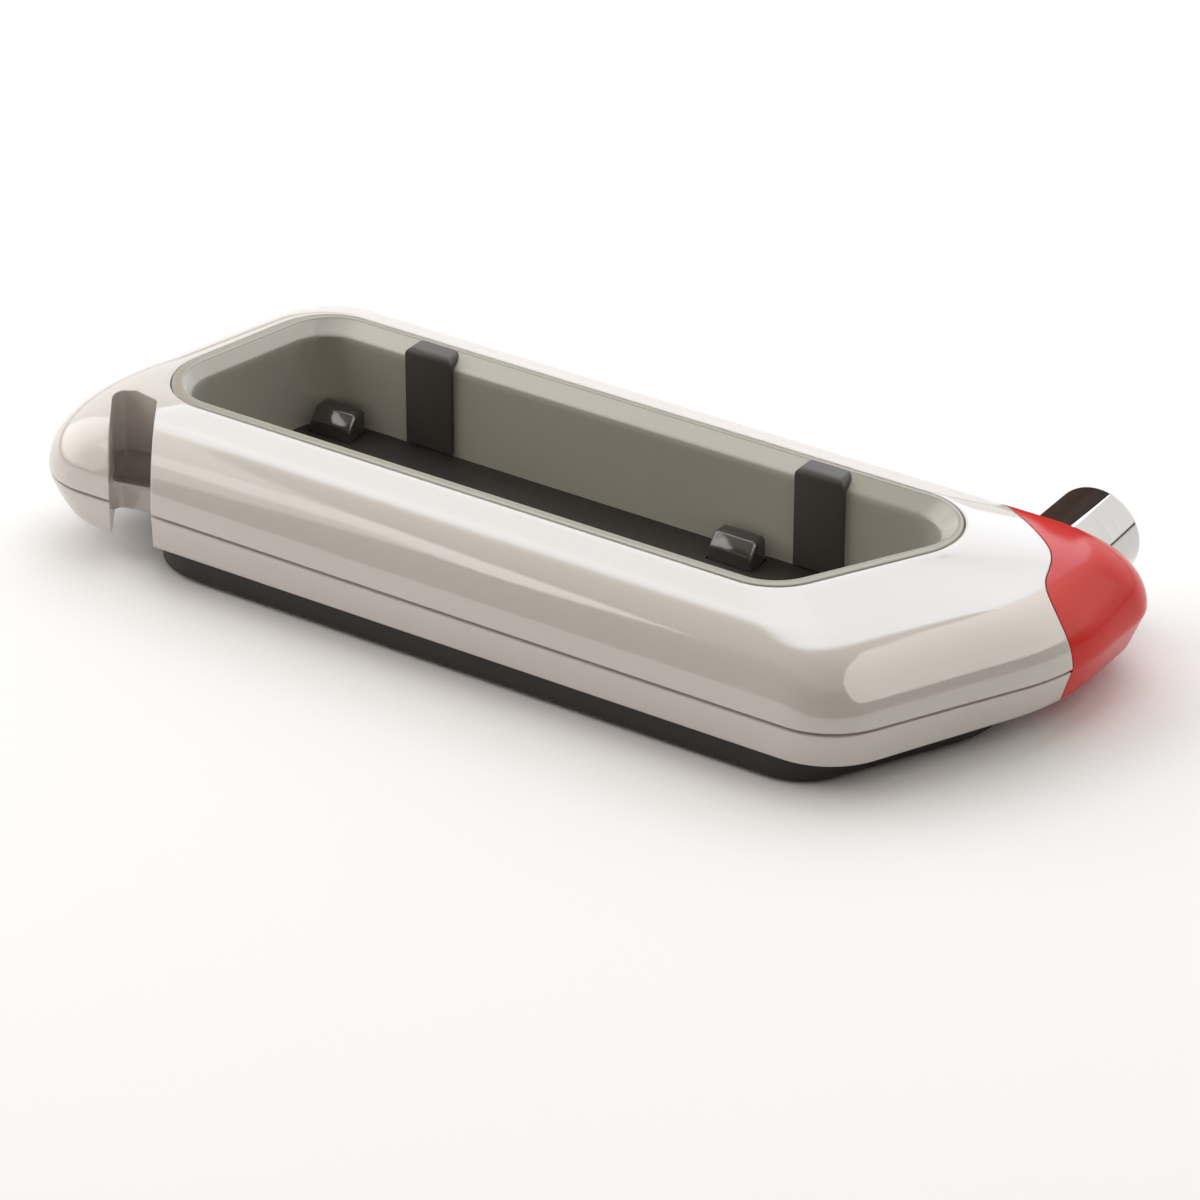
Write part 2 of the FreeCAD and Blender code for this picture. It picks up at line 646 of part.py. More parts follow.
def catch_parts(x):
    """Sprung catch, its leaf spring and the cup that holds both under the floor."""
    flange_top = floor_z - AXIAL_GAP
    flange_z = flange_top - CATCH_FLANGE_T
    cup_z = flange_z - CATCH_TRAVEL - AXIAL_GAP
    top_z = FLOOR_TOP + CATCH_H
    hl = CATCH_L / 2
    hd = CATCH_D / 2
    y = CATCH_Y
    ramp_z = top_z - CATCH_RAMP_H
    outline = [
        V(x - hl, y - hd, flange_z),
        V(x - hl, y + hd, flange_z),
        V(x - hl, y + hd, top_z),
        V(x - hl, y - hd + CATCH_RAMP_D, top_z),
        V(x - hl, y - hd, ramp_z),
    ]
    body = Part.Face(Part.makePolygon(outline + [outline[0]])).extrude(V(CATCH_L, 0, 0))
    ends = []
    for e in body.Edges:
        box = e.BoundBox
        if box.XLength < CATCH_EDGE and box.YLength > CATCH_EDGE and box.ZMax > top_z - CATCH_EDGE:
            ends.append(e)
    body = body.makeChamfer(CATCH_EDGE, ends)
    fl = hl + CATCH_FLANGE
    fd = hd + CATCH_FLANGE
    body = body.fuse(block(x - fl, x + fl, y - fd, y + fd, flange_z, flange_top))
    cl = fl + GAP
    cd = fd + GAP
    ol = cl + CUP_T
    od = cd + CUP_T
    rim = [(x - ol, y - od), (x + ol, y - od), (x + ol, y + od), (x - ol, y + od)]
    cup = prism(corner(rim, [CUP_R] * 4, cup_z - CUP_FLOOR), floor_z - cup_z + CUP_FLOOR)
    cup = cup.cut(block(x - cl, x + cl, y - cd, y + cd, cup_z, floor_z))
    return body, leaf(x, y, cup_z, flange_z - LEAF_PLAY), cup


def leaf(x, y, low, crown):
    """Bowed strip that stands on two flat pads and lifts the catch."""
    y0 = y - LEAF_W / 2
    half = LEAF_L / 2
    inner = half - LEAF_PAD
    over = Part.Arc(V(x + half, y0, low), V(x, y0, crown), V(x - half, y0, low)).toShape()
    under = Part.Arc(V(x - inner, y0, low), V(x, y0, crown - LEAF_T), V(x + inner, y0, low)).toShape()
    left = Part.LineSegment(V(x - half, y0, low), V(x - inner, y0, low)).toShape()
    right = Part.LineSegment(V(x + inner, y0, low), V(x + half, y0, low)).toShape()
    return Part.Face(Part.Wire([over, left, under, right])).extrude(V(0, LEAF_W, 0))


def catch_hole(x):
    hl = CATCH_L / 2 + GAP
    hd = CATCH_D / 2 + GAP
    return block(x - hl, x + hl, CATCH_Y - hd, CATCH_Y + hd, 0, FLOOR_TOP + MAT_T + MAT_GAP)


for x in (CATCH_LEFT_X, CATCH_RIGHT_X):
    liner = liner.cut(catch_hole(x))
    mat = mat.cut(catch_hole(x))
for x in (CLIP_LEFT_X, CLIP_RIGHT_X):
    liner = liner.cut(clip_pocket(x))
catch_left, leaf_left, cup_left = catch_parts(CATCH_LEFT_X)
catch_right, leaf_right, cup_right = catch_parts(CATCH_RIGHT_X)

nodes = {
    "upper_housing": upper,
    "lower_housing": lower,
    "base_pan": base,
    "rubber_feet": Part.makeCompound(feet),
    "housing_screws": Part.makeCompound(screws),
    "end_cap": cap,
    "end_cap_screws": Part.makeCompound(cap_screws),
    "pivot_bush": bush,
    "thrust_washer": washer,
    "retaining_ring": ring,
    "pivot_shaft": shaft,
    "knob_core": knob_core,
    "knob_sleeve": sleeve,
    "tray_liner": liner,
    "floor_mat": mat,
    "clip_left": clip(CLIP_LEFT_X),
    "clip_right": clip(CLIP_RIGHT_X),
    "catch_left": catch_left,
    "catch_right": catch_right,
    "catch_spring_left": leaf_left,
    "catch_spring_right": leaf_right,
    "catch_cup_left": cup_left,
    "catch_cup_right": cup_right,
}

# The origin goes to the middle of the overall box, on the table
extent = outer_upper.optimalBoundingBox(False)
middle = V((extent.XMin + extent.XMax) / 2, (KNOB_END - FACE_Y) / 2, 0)
os.makedirs("parts", exist_ok=True)
for name, shape in nodes.items():
    shape.translate(-middle)
    shape.exportStep("parts/" + name + ".step")
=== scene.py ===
import math
import bmesh
import bpy
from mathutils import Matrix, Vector


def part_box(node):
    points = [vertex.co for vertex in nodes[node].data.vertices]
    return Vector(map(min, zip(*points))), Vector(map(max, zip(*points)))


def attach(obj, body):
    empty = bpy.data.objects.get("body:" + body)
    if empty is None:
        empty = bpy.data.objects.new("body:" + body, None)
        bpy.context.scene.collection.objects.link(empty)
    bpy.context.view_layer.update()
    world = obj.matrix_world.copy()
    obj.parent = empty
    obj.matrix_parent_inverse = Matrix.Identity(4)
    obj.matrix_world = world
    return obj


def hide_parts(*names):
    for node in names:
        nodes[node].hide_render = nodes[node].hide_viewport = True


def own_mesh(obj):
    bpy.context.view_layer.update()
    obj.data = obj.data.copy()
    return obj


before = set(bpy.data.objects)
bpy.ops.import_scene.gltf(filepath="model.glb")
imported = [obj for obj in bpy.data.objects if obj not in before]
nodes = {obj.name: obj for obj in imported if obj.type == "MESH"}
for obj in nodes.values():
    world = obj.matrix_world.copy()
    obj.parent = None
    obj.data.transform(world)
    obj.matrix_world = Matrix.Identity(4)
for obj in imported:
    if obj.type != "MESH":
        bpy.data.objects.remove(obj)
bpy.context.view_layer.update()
MM = 0.001

# Sizes of the body in millimetres, measured from the middle of the trough
RIM_Z = 39.6
PARTING_Z = 18.0
LOWER_Z = 7.5
RIM_HALF = 32.0
RIM_LEFT = -108.65
RIM_RIGHT = 97.35
LEFT_SLANT = 0.2466
RIGHT_SLANT = 0.5817
RIM_R = 17.7
LEAST_R = 1.0
RIM_BEND_Y = -12.0
SHOULDER = 21.3
LEFT_SHOULDER = 19.5
NOSE_X = 142.0
NOSE_Y = 7.5
END_SLANT = 0.559
BEND_R = 60.0
CORNERS = [19.0, 22.0, BEND_R, 15.0, 22.0]
SIDE_SLOPE = 20.0
SIDE_ROUND = 20.0
LEFT_SLOPE = 15.0
LEFT_ROUND = 21.3
NOSE_SLOPE = 12.5
NOSE_ROUND = 17.0
NOSE_REACH = 36.0
LOWER_TUCK = 1.2
NOSE_TUCK = 4.0
LEFT_TUCK = 5.0
KNOB_X = 113.3
KNOB_Z = 20.0
KNOB_R = 12.3
KNOB_START = 47.6
KNOB_END = 68.7
CAP_JOINT = 0.25
FACE_Y = RIM_HALF + SHOULDER
CLIP_X = {"clip_left": -61.8, "clip_right": 57.4}
CATCH_X = {"catch_left": -87.8, "catch_right": 36.5}

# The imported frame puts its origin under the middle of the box
low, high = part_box("knob_sleeve")
SHIFT = Vector(((low.x + high.x) / 2 - KNOB_X * MM, high.y - KNOB_END * MM, 0))


def place(x, y, z):
    """Point in millimetres from the middle of the trough, in metres of the frame."""
    return Vector((x, y, z)) * MM + SHIFT


def mix(a, b, share):
    return a + (b - a) * share


def inset(points, amount):
    """Polygon moved inward by one amount, corners taken anticlockwise."""
    result = []
    for i, p in enumerate(points):
        a = points[i - 1]
        b = points[(i + 1) % len(points)]
        n1 = Vector((a[1] - p[1], p[0] - a[0])).normalized()
        n2 = Vector((p[1] - b[1], b[0] - p[0])).normalized()
        push = (n1 + n2) * (amount / (1 + n1.dot(n2)))
        result.append((p[0] + push.x, p[1] + push.y))
    return result


# Edges that turn by less than this meet where the next one starts
PARALLEL = 1e-6


def inset_edges(points, amounts):
    """Polygon with each edge moved inward by its own amount."""
    count = len(points)
    lines = []
    for i in range(count):
        p = Vector(points[i])
        run = (Vector(points[(i + 1) % count]) - p).normalized()
        lines.append((p + Vector((-run.y, run.x)) * amounts[i], run))
    result = []
    for i in range(count):
        p, u = lines[i - 1]
        q, w = lines[i]
        cross = u.x * w.y - u.y * w.x
        if abs(cross) < PARALLEL:
            result.append((q.x, q.y))
            continue
        gap = q - p
        result.append(tuple(p + u * ((gap.x * w.y - gap.y * w.x) / cross)))
    return result


# Steps round each corner and along each side, the least reach of a corner and its straightest turn
ARC_STEPS = 20
RUN_STEPS = [34, 14, 12, 34, 14]
LEAST_REACH = 0.13
STRAIGHT = 0.004


def outline(points, radii):
    """Round-cornered polygon as an even loop of points, the same count at any size."""
    spans = []
    for i, p in enumerate(points):
        p = Vector(p)
        u = (Vector(points[i - 1]) - p).normalized()
        w = (Vector(points[(i + 1) % len(points)]) - p).normalized()
        half = (math.pi - u.angle(w)) / 2
        reach = max(radii[i] * math.tan(half), radii[i] * LEAST_REACH)
        span = []
        for k in range(ARC_STEPS + 1):
            t = k / ARC_STEPS
            if half < STRAIGHT:
                span.append(p + u * reach * (1 - t) + w * reach * t if t < 1 else p + w * reach)
                continue
            radius = reach / math.tan(half)
            centre = p + (u + w).normalized() * (radius / math.cos(half))
            away = (p - centre).normalized()
            side = (w - away * w.dot(away)).normalized()
            angle = mix(-half, half, t)
            span.append(centre + (away * math.cos(angle) + side * math.sin(angle)) * radius)
        spans.append(span)
    loop = []
    for i, span in enumerate(spans):
        loop += span
        end = span[-1]
        start = spans[(i + 1) % len(spans)][0]
        for k in range(1, RUN_STEPS[i]):
            loop.append(end + (start - end) * (k / RUN_STEPS[i]))
    return loop


def ring(points, radii, z):
    """Outline at one height."""
    return [(p.x, p.y, z) for p in outline(points, radii)]


# Plan corners of the rim, of the body at the parting joint and of its bottom, with the nose drawn in
RIM = [
    (RIM_LEFT - LEFT_SLANT * RIM_HALF, -RIM_HALF),
    (RIM_RIGHT - RIGHT_SLANT * RIM_HALF, -RIM_HALF),
    (RIM_RIGHT + RIGHT_SLANT * RIM_BEND_Y, RIM_BEND_Y),
    (RIM_RIGHT + RIGHT_SLANT * RIM_HALF, RIM_HALF),
    (RIM_LEFT + LEFT_SLANT * RIM_HALF, RIM_HALF),
]
RIM_RADII = [RIM_R, RIM_R, BEND_R, RIM_R, RIM_R]
LEFT_FACE = RIM_LEFT - LEFT_SHOULDER * math.hypot(1, LEFT_SLANT)
PART_OUT = [
    (LEFT_FACE - LEFT_SLANT * FACE_Y, -FACE_Y),
    (NOSE_X - END_SLANT * (NOSE_Y + FACE_Y), -FACE_Y),
    (NOSE_X, NOSE_Y),
    (NOSE_X, FACE_Y),
    (LEFT_FACE + LEFT_SLANT * FACE_Y, FACE_Y),
]
LOWER_OUT = inset(PART_OUT, LOWER_TUCK)
for i in (2, 3):
    LOWER_OUT[i] = (LOWER_OUT[i][0] + LOWER_TUCK - NOSE_TUCK, LOWER_OUT[i][1])


def rim_ring(gap, z):
    """Loop inside the rim of the trough, or outside it for a gap below zero."""
    return ring(inset(RIM, gap), [max(LEAST_R, r - gap) for r in RIM_RADII], z)


def shoulder_reach(z, slope, radius, reach):
    """Distance out from the rim at one height, as a share of the whole shoulder."""
    angle = math.asin(min(1.0, max(0.0, z - PARTING_Z) / radius))
    if angle < math.radians(90 - slope):
        return (reach - radius * (1 - math.cos(angle))) / reach
    return min(1.0, (RIM_Z - z) / math.tan(math.radians(slope)) / reach)


def upper_ring(z, gap=0.0, height=None):
    """Loop round the upper skin at one height, which may be drawn in and shown at another."""
    side = shoulder_reach(z, SIDE_SLOPE, SIDE_ROUND, SHOULDER)
    nose = shoulder_reach(z, NOSE_SLOPE, NOSE_ROUND, NOSE_REACH)
    left = shoulder_reach(z, LEFT_SLOPE, LEFT_ROUND, LEFT_SHOULDER)
    shares = [(left, side), (nose, side), (nose, nose), (nose, side), (left, side)]
    points = [(mix(a[0], b[0], across), mix(a[1], b[1], deep))
              for a, b, (across, deep) in zip(RIM, PART_OUT, shares)]
    radii = [mix(a, b, side) - gap for a, b in zip(RIM_RADII, CORNERS)]
    return ring(inset(points, gap), radii, z if height is None else height)


def lower_ring(z, gap=0.0):
    """Loop round the lower skin at one height."""
    share = (PARTING_Z - z) / (PARTING_Z - LOWER_Z)
    points = [(mix(a[0], b[0], share), mix(a[1], b[1], share)) for a, b in zip(PART_OUT, LOWER_OUT)]
    # The left end curves in toward the bottom
    for i in (0, 4):
        points[i] = (points[i][0] + LEFT_TUCK * share ** 2, points[i][1])
    return ring(inset(points, gap), [r - gap for r in CORNERS], z)


def new_object(name, verts, faces):
    mesh = bpy.data.meshes.new(name)
    mesh.from_pydata([place(*v) for v in verts], [], faces)
    mesh.update()
    obj = bpy.data.objects.new(name, mesh)
    bpy.context.scene.collection.objects.link(obj)
    return obj


def loft(name, rings, tube=False):
    """Skin through rings of equal count: a closed tube of section, or a solid with two flat ends."""
    count = len(rings[0])
    verts = [v for r in rings for v in r]
    faces = []
    for k in range(len(rings) if tube else len(rings) - 1):
        a = k * count
        b = (k + 1) % len(rings) * count
        for i in range(count):
            j = (i + 1) % count
            faces.append((a + i, a + j, b + j, b + i))
    if not tube:
        last = (len(rings) - 1) * count
        faces.append(tuple(reversed(range(count))))
        faces.append(tuple(range(last, last + count)))
    return new_object(name, verts, faces)


def carve(obj, operation, tool):
    """Boolean of obj with a tool object, which is then removed."""
    mod = obj.modifiers.new("carve", "BOOLEAN")
    mod.operation = operation
    mod.solver = "EXACT"
    mod.object = tool
    bpy.context.view_layer.update()
    mesh = bpy.data.meshes.new_from_object(obj.evaluated_get(bpy.context.evaluated_depsgraph_get()))
    obj.modifiers.clear()
    old = obj.data
    obj.data = mesh
    mesh.name = obj.name
    bpy.data.meshes.remove(old)
    bpy.data.objects.remove(tool)


def smooth(obj, angle):
    """Smooth shading, sharp where faces turn by more than the angle in degrees."""
    obj.data.polygons.foreach_set("use_smooth", [True] * len(obj.data.polygons))
    obj.data.set_sharp_from_angle(angle=math.radians(angle))


def circle(x, y, z, radius, steps, turn=1):
    """Upright ring of points round the depth axis, in one turning sense or the other."""
    points = []
    for k in range(steps):
        angle = math.tau * k / steps
        points.append((x + turn * radius * math.cos(angle), y, z + radius * math.sin(angle)))
    return points


def rod(name, x, y, z, radius, length, steps=72):
    """Closed cylinder along the depth axis."""
    return loft(name, [circle(x, at, z, radius, steps) for at in (y + length, y)])


def block(name, x0, x1, y0, y1, z0, z1):
    """Closed box."""
    rings = [[(x0, y0, z), (x1, y0, z), (x1, y1, z), (x0, y1, z)] for z in (z0, z1)]
    return loft(name, rings)


# Hook notch, the low bridge across it, the pocket behind the bridge, and how far the cuts overlap
NOTCH_LEFT = -107.0
NOTCH_RIGHT = -93.7
NOTCH_TURNS = (34.0, 31.4)
NOTCH_END = (-116.6, -28.6)
NOTCH_END_TURN = 14.0
NOTCH_LEAN = 7.5
NOTCH_OPEN = 20.0
NOTCH_ROUND = 2.4
NOTCH_STEPS = 8
NOTCH_UNDER = -2.0
NOTCH_OVER = 6.0
BRIDGE_TOP = 17.4
BRIDGE_LOW = 10.9
BRIDGE_AHEAD = 17.3
BRIDGE_WALL = 1.4
BRIDGE_UNDER = 8.7
BRIDGE_OVERLAP = 1.0
BRIDGE_OVER = (1.0, 2.0, 3.0)
POCKET_BACK = 2.5
POCKET_FLOOR = 9.0


def notch_points():
    """Plan corners of the notch: two in front of the body, then its two back corners."""
    rise = math.tan(math.radians(NOTCH_END_TURN))
    far = -FACE_Y - NOTCH_OPEN
    pairs = []
    for start, turn in zip((NOTCH_LEFT, NOTCH_RIGHT), NOTCH_TURNS):
        lean = math.tan(math.radians(turn))
        y = (NOTCH_END[1] + rise * (start - FACE_Y * lean - NOTCH_END[0])) / (1 + rise * lean)
        pairs.append(((start - (far + FACE_Y) * lean, far), (start - (y + FACE_Y) * lean, y)))
    return [pairs[0][0], pairs[1][0], pairs[1][1], pairs[0][1]]


def round_loop(points, radius, steps):
    """Polygon with every corner rounded by one radius."""
    loop = []
    for i, p in enumerate(points):
        p = Vector(p)
        u = (Vector(points[i - 1]) - p).normalized()
        w = (Vector(points[(i + 1) % len(points)]) - p).normalized()
        half = (math.pi - u.angle(w)) / 2
        centre = p + (u + w).normalized() * (radius / math.cos(half))
        away = (p - centre).normalized()
        side = (w - away * w.dot(away)).normalized()
        for k in range(steps + 1):
            angle = mix(-half, half, k / steps)
            q = centre + (away * math.cos(angle) + side * math.sin(angle)) * radius
            loop.append((q.x, q.y))
    return loop


def notch_tool(name, levels, front=None):
    """Upright notch: each level is a height and how far its two back corners stand forward."""
    base = [Vector(p) for p in notch_points()]
    left = (base[0] - base[3]).normalized()
    right = (base[1] - base[2]).normalized()
    rings = []
    for z, left_ahead, right_ahead in levels:
        points = list(base)
        if front is not None:
            points[0] = base[3] + left * front
            points[1] = base[2] + right * front
        points[2] = base[2] + right * right_ahead
        points[3] = base[3] + left * left_ahead
        rings.append([(x, y, z) for x, y in round_loop(points, NOTCH_ROUND, NOTCH_STEPS)])
    return loft(name, rings)


# Plan line of the red cap's border, from the back face to the nose
CAP_BORDER = [
    (83.6, 60.0), (85.6, 55.0), (89.6, 50.4), (94.6, 46.6), (100.0, 42.8), (105.4, 39.0),
    (110.8, 35.8), (116.0, 32.5), (120.8, 28.8), (123.5, 25.2), (125.0, 21.4), (126.6, 16.9),
    (129.5, 12.9), (133.8, 9.8), (138.0, 8.2), (142.6, 7.4),
]
CAP_STEPS = 8
CAP_FAR = 60.0
CAP_OVER = 10.0


def smooth_path(points, steps):
    """Even curve through points."""
    ends = [points[0]] + points + [points[-1]]
    path = []
    for i in range(1, len(ends) - 2):
        a, b, c, d = [Vector(p) for p in ends[i - 1:i + 3]]
        for k in range(steps):
            t = k / steps
            path.append(0.5 * (2 * b + (c - a) * t + (2 * a - 5 * b + 4 * c - d) * t ** 2
                               + (3 * b - a - 3 * c + d) * t ** 3))
    return path + [Vector(points[-1])]


def cap_tool(name, gap):
    """Plan area beyond the curved border of the red cap, as a tall prism."""
    path = smooth_path(CAP_BORDER, CAP_STEPS)
    border = []
    for i, p in enumerate(path):
        run = (path[min(i + 1, len(path) - 1)] - path[max(i - 1, 0)]).normalized()
        border.append(p + Vector((-run.y, run.x)) * gap)
    border.append(Vector((NOSE_X + CAP_FAR, border[-1].y)))
    border.append(Vector((NOSE_X + CAP_FAR, FACE_Y + CAP_FAR)))
    border.append(Vector((border[0].x, FACE_Y + CAP_FAR)))
    return loft(name, [[(p.x, p.y, z) for p in border] for z in (0.0, RIM_Z + CAP_OVER)])


# Rings up the shoulder, and how close they may come
BEND_STEPS = 22
TOP_STEPS = 6
TOP_START = 36.95
TOP_END = RIM_Z - 0.2
LEAST_START = 0.5
LEAST_STEP = 0.12


def shoulder_levels():
    """Heights up the shoulder, dense round both bends."""
    levels = set()
    for radius, slope in ((SIDE_ROUND, SIDE_SLOPE), (NOSE_ROUND, NOSE_SLOPE)):
        for k in range(1, BEND_STEPS + 1):
            angle = math.radians((90 - slope) * k / BEND_STEPS)
            levels.add(round(PARTING_Z + radius * math.sin(angle), 3))
    for k in range(1, TOP_STEPS + 1):
        levels.add(round(mix(TOP_START, TOP_END, k / TOP_STEPS), 3))
    kept = []
    for z in sorted(levels):
        if z > PARTING_Z + LEAST_START and (not kept or z - kept[-1] > LEAST_STEP):
            kept.append(z)
    return kept


# Upper shell: bottom edge, shoulder, rim edge, ledge and well wall
EDGE = 0.35
EDGE_IN = EDGE * 0.3
RIM_EDGE = [(-0.22, 0.12), (-0.05, 0.18), (0.0, 0.35)]
LEDGE_Z = 36.7
LEDGE_IN = 1.8
UPPER_FOOT = 18.6
UPPER_WALL = 2.1
rings = [upper_ring(PARTING_Z, EDGE), upper_ring(PARTING_Z, EDGE_IN, PARTING_Z + EDGE_IN)]
rings.append(upper_ring(PARTING_Z, 0, PARTING_Z + EDGE))
rings += [upper_ring(z) for z in shoulder_levels()]
rings += [rim_ring(gap, RIM_Z - drop) for gap, drop in RIM_EDGE]
rings += [rim_ring(gap, z) for gap, z in ((0.0, LEDGE_Z), (LEDGE_IN, LEDGE_Z), (LEDGE_IN, UPPER_FOOT))]
rings.append(upper_ring(PARTING_Z, UPPER_WALL, UPPER_FOOT))
rings.append(upper_ring(PARTING_Z, UPPER_WALL))
upper = loft("upper_shell", rings, tube=True)
above = RIM_Z + NOTCH_OVER
lean = NOTCH_LEAN * (above - PARTING_Z) / (RIM_Z - PARTING_Z)
carve(upper, "DIFFERENCE", notch_tool("tool", [(NOTCH_UNDER, 0, 0), (PARTING_Z, 0, 0), (above, 0, lean)]))
carve(upper, "DIFFERENCE", cap_tool("tool", 0.0))

# Lower shell: rounded bottom edge, drawn-in wall, tongue under the upper shell and well wall
BOTTOM = 1.1
BOTTOM_STEPS = 5
LOWER_STEPS = 6
GROOVE = 0.8
GROOVE_IN = 2.4
TONGUE_Z = 18.3
WELL_IN = 2.8


def bottom_rings():
    """Rounded bottom edge of the lower skin."""
    rings = []
    for k in range(BOTTOM_STEPS + 1):
        a = math.radians(90 * k / BOTTOM_STEPS)
        rings.append(lower_ring(LOWER_Z + BOTTOM * (1 - math.cos(a)), BOTTOM * (1 - math.sin(a))))
    return rings


rings = bottom_rings()
for k in range(1, LOWER_STEPS + 1):
    rings.append(lower_ring(mix(LOWER_Z + BOTTOM, PARTING_Z - GROOVE - EDGE, k / LOWER_STEPS)))
rings.append(lower_ring(PARTING_Z - GROOVE - EDGE_IN, EDGE_IN))
rings.append(lower_ring(PARTING_Z - GROOVE, EDGE))
rings.append(lower_ring(PARTING_Z - GROOVE, GROOVE_IN))
rings.append(ring(inset(PART_OUT, GROOVE_IN), [r - GROOVE_IN for r in CORNERS], TONGUE_Z))
rings.append(rim_ring(WELL_IN, TONGUE_Z))
rings.append(rim_ring(WELL_IN, LOWER_Z))
lower = loft("lower_shell", rings, tube=True)
low_over, front_over, top_over = [BRIDGE_TOP + over for over in BRIDGE_OVER]
for start, end, ahead in ((NOTCH_UNDER, BRIDGE_LOW, BRIDGE_UNDER),
                          (BRIDGE_LOW - BRIDGE_OVERLAP, front_over, BRIDGE_AHEAD)):
    carve(lower, "DIFFERENCE", notch_tool("tool", [(start, ahead, ahead), (end, ahead, ahead)]))
for start, end, front in ((POCKET_FLOOR, low_over, BRIDGE_AHEAD - BRIDGE_WALL),
                          (BRIDGE_TOP, top_over, None)):
    levels = [(z, -POCKET_BACK, -POCKET_BACK) for z in (start, end)]
    carve(lower, "DIFFERENCE", notch_tool("tool", levels, front))
carve(lower, "DIFFERENCE", cap_tool("tool", 0.0))

# Red end cap: the same skin without a joint, with the knob pocket and the pivot bores
CAP_WALL_STEPS = 9
KNOB_ROOM = 0.4
KNOB_POCKET = 40.0
KNOB_POCKET_STEPS = 128
PIVOT_BORES = [(6.05, 60.0), (9.5, 33.2)]
rings = bottom_rings()
for k in range(1, CAP_WALL_STEPS + 1):
    rings.append(lower_ring(mix(LOWER_Z + BOTTOM, PARTING_Z, k / CAP_WALL_STEPS)))
rings += [upper_ring(z) for z in shoulder_levels()]
cap = loft("end_cap_shell", rings)
carve(cap, "INTERSECT", cap_tool("tool", CAP_JOINT))
carve(cap, "DIFFERENCE", rod("tool", KNOB_X, KNOB_START - KNOB_ROOM, KNOB_Z, KNOB_R + KNOB_ROOM,
                             KNOB_POCKET, KNOB_POCKET_STEPS))
for radius, length in PIVOT_BORES:
    carve(cap, "DIFFERENCE", rod("tool", KNOB_X, 0.0, KNOB_Z, radius, length))

# Liner: tub and lip from outside, each an inset and a height
TUB = [
    (4.4, 8.0), (3.6, 8.4), (2.2, 36.9), (0.5, 37.0), (0.4, 37.1), (0.4, 39.3), (0.5, 39.53), (0.75, 39.6),
]
# Inside: insets of the left wall, the back wall and the other walls, and a height.
# The left and back walls have a chamfer under the lip, the others a soft round.
INSIDE = [
    (3.0, 1.6, 2.9, 39.6), (3.2, 1.78, 3.25, 39.5), (3.42, 2.15, 3.7, 39.2), (3.82, 2.9, 4.3, 38.6),
    (4.34, 3.9, 4.85, 37.8), (4.8, 4.78, 5.2, 37.1), (4.98, 5.15, 5.33, 36.8), (5.25, 5.62, 5.48, 36.4),
    (5.56, 6.0, 5.65, 35.8), (5.58, 6.02, 5.93, 34.2), (5.57, 6.05, 6.05, 32.0), (5.46, 6.1, 6.1, 11.5),
    (5.6, 6.25, 6.25, 10.6), (6.0, 6.6, 6.6, 10.15), (6.6, 7.2, 7.2, 10.0),
]
MAT = [(6.5, 10.0), (6.5, 10.8), (6.65, 11.1), (7.0, 11.2)]
CATCH_HALF = 6.9
CATCH_DEPTH = (15.6, 23.6)
CATCH_CUT = (6.0, 12.0)


def wall_ring(left, back, others, z):
    """Loop inside the rim with a gap of its own at the left and at the back."""
    points = inset_edges(RIM, [others, others, others, back, left])
    return ring(points, [r - others for r in RIM_RADII], z)


def cut_catch_holes(obj):
    """Opens the floor under both catches."""
    for x in CATCH_X.values():
        carve(obj, "DIFFERENCE", block("tool", x - CATCH_HALF, x + CATCH_HALF, *CATCH_DEPTH, *CATCH_CUT))


liner = loft("trough_liner", [rim_ring(*level) for level in TUB] + [wall_ring(*level) for level in INSIDE])
cut_catch_holes(liner)

# Floor mat with a soft top edge
mat_piece = loft("floor_sheet", [rim_ring(*level) for level in MAT])
cut_catch_holes(mat_piece)

# Chrome sleeve with a rolled end edge and a shallow dish in its end
KNOB_STEPS = 160
KNOB_WALL = 1.2
KNOB_EDGE = 0.25
KNOB_ROLL = 0.7
ROLL_STEPS = 6
KNOB_RIM = 2.2
KNOB_DISH = 0.3
KNOB_FACE = 1.5
KNOB_CENTRE = 0.6
profile = [(KNOB_R - KNOB_WALL, KNOB_START), (KNOB_R - KNOB_EDGE, KNOB_START)]
profile += [(KNOB_R, KNOB_START + KNOB_EDGE), (KNOB_R, KNOB_END - KNOB_ROLL)]
for k in range(1, ROLL_STEPS + 1):
    a = math.radians(90 * k / ROLL_STEPS)
    profile.append((KNOB_R - KNOB_ROLL * (1 - math.cos(a)), KNOB_END - KNOB_ROLL * (1 - math.sin(a))))
profile.append((KNOB_R - KNOB_RIM, KNOB_END))
profile.append((KNOB_R - KNOB_RIM - KNOB_DISH, KNOB_END - KNOB_DISH))
profile.append((KNOB_CENTRE, KNOB_END - KNOB_DISH))
profile += [(KNOB_CENTRE, KNOB_END - KNOB_FACE), (KNOB_R - KNOB_WALL, KNOB_END - KNOB_FACE)]
rings = [circle(KNOB_X, y, KNOB_Z, radius, KNOB_STEPS, turn=-1) for radius, y in profile]
sleeve = loft("knob_tube", rings, tube=True)

# Edge finish in degrees and metres
ROUND_FROM = 24.0
ROUND_SMOOTH = 32.0
FLAT_WITHIN = 1.0
WELD = 0.00001


def round_edges(obj, width, segments=3):
    """Rounds every edge that turns sharply."""
    mod = obj.modifiers.new("round", "BEVEL")
    mod.width = width * MM
    mod.segments = segments
    mod.limit_method = "ANGLE"
    mod.angle_limit = math.radians(ROUND_FROM)
    mod.use_clamp_overlap = True
    bpy.context.view_layer.update()
    mesh = bpy.data.meshes.new_from_object(obj.evaluated_get(bpy.context.evaluated_depsgraph_get()))
    obj.modifiers.clear()
    obj.data = mesh
    mesh.name = obj.name
    smooth(obj, ROUND_SMOOTH)


